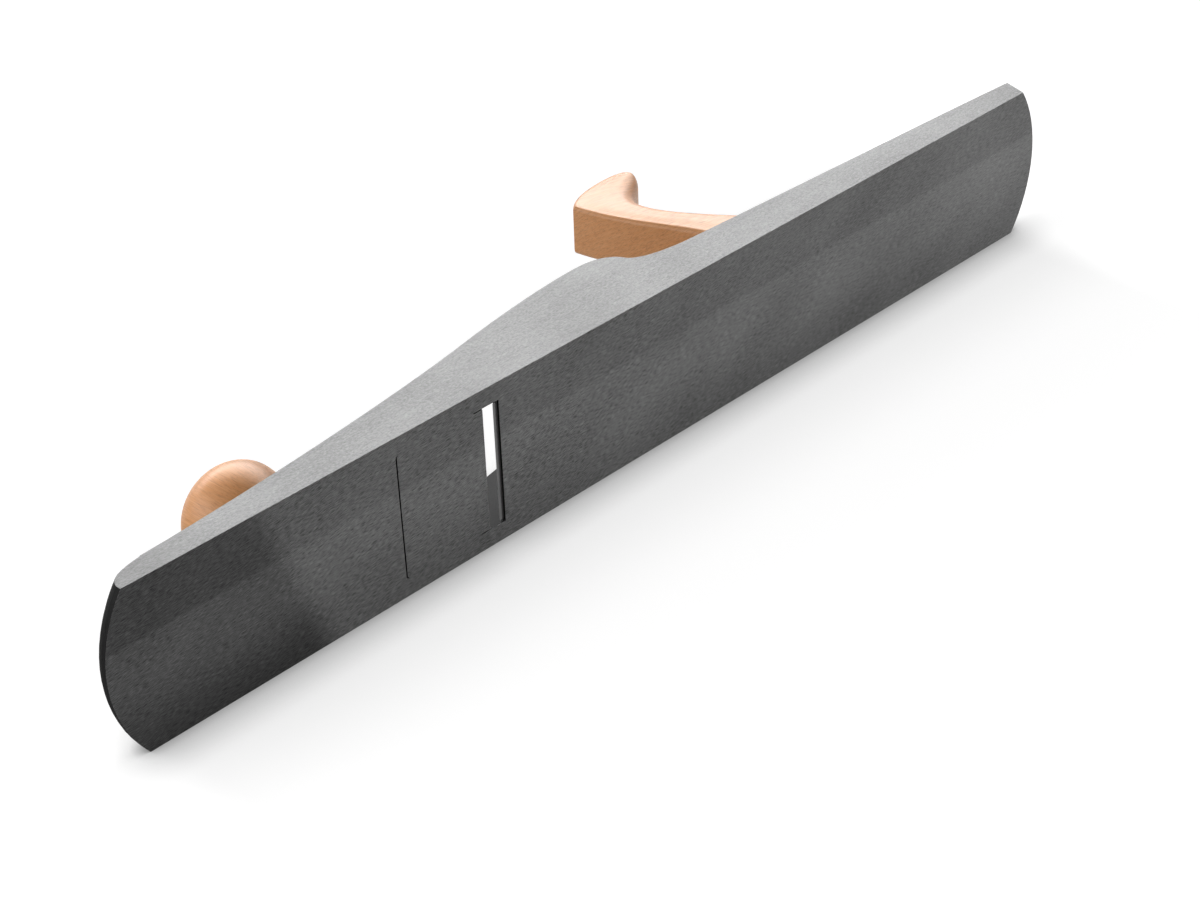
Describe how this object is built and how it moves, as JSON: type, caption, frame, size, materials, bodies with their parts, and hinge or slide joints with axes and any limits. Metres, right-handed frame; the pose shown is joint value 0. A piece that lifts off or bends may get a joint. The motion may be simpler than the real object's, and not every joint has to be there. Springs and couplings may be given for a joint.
{
  "type": "jointer plane",
  "caption": "Long bevel-up jointer plane lying on its right cheek, with a sliding toe plate, a low-angle blade under a lever cap, a screw adjuster, a turned knob and a rear handle.",
  "frame": {"origin": "centre of the sole, at mid-length and mid-width", "axes": "+X along the sole to the heel, +Y out of the plane's top, away from the sole, +Z out of the left cheek, which is up as the plane lies"},
  "size_m": [0.5605, 0.1299, 0.0762],
  "materials": {
    "body_iron": "ground sole and cheeks, fine brushed strokes",
    "plate_iron": "ground, set in the sole",
    "blade_steel": "lapped, bevel ground",
    "cap_metal": "machined, satin",
    "brass": "turned, satin",
    "steel": "turned, bright",
    "knob_wood": "turned hardwood, oiled",
    "handle_wood": "shaped hardwood, oiled"
  },
  "bodies": {
    "frame": {"body_casting": "body_iron", "knob_stud": "steel", "knob_washer": "steel", "lever_cap_screw": "steel", "rear_handle": "handle_wood", "handle_rod": "steel", "handle_nut": "brass", "foot_screw": "brass"},
    "toe": {"toe_plate": "plate_iron"},
    "toe_stop": {"toe_stop_screw": "brass"},
    "knob": {"front_knob": "knob_wood", "knob_insert": "brass"},
    "adjuster": {"adjuster_post": "steel"},
    "wheel": {"adjuster_spindle": "steel", "thrust_collar": "steel", "adjuster_wheel": "brass", "wheel_grub_screw": "steel"},
    "carriage": {"adjuster_nut": "steel", "adjuster_pin": "steel"},
    "iron": {"blade": "blade_steel"},
    "cap": {"lever_cap": "cap_metal"},
    "cap_tightener": {"cap_wheel": "brass", "cap_pad": "brass"}
  },
  "joints": [
    {"name": "toe_slide", "type": "slide", "parent": "frame", "child": "toe", "axis": [1, 0, 0], "range_m": [-0.0005, 0.0026]},
    {"name": "toe_stop_turn", "type": "hinge", "parent": "toe", "child": "toe_stop", "pos_m": [-0.145, 0.01805, 0], "axis": [1, 0, 0], "range_deg": [-720, 1080]},
    {"name": "knob_turn", "type": "hinge", "parent": "frame", "child": "knob", "pos_m": [-0.1813, 0.05, 0], "axis": [0, 1, 0], "range_deg": [0, 360]},
    {"name": "adjuster_swivel", "type": "hinge", "parent": "frame", "child": "adjuster", "pos_m": [0.05775, 0.03106, 0], "axis": [-0.2079, 0.9781, 0], "range_deg": [-4, 4]},
    {"name": "wheel_turn", "type": "hinge", "parent": "adjuster", "child": "wheel", "pos_m": [0.07192, 0.02743, 0], "axis": [0.9781, 0.2079, 0], "range_deg": [-1350, 1350]},
    {"name": "carriage_slide", "type": "slide", "parent": "adjuster", "child": "carriage", "axis": [0.9781, 0.2079, 0], "range_m": [-0.003, 0.003]},
    {"name": "iron_pivot", "type": "hinge", "parent": "carriage", "child": "iron", "pos_m": [0.04102, 0.0275, 0], "axis": [-0.2079, 0.9781, 0], "range_deg": [-4.7, 4.7]},
    {"name": "cap_slide", "type": "slide", "parent": "frame", "child": "cap", "axis": [0.9781, 0.2079, 0], "range_m": [0, 0.009]},
    {"name": "cap_wheel_turn", "type": "hinge", "parent": "cap", "child": "cap_tightener", "pos_m": [0.0244, 0.02397, 0], "axis": [-0.2079, 0.9781, 0], "range_deg": [0, 540]}
  ],
  "couplings": [
    {"joint": "carriage_slide", "follows": "wheel_turn", "m_per_rad": 0.0001273},
    {"joint": "iron_pivot", "follows": "adjuster_swivel", "ratio": -1.152}
  ]
}
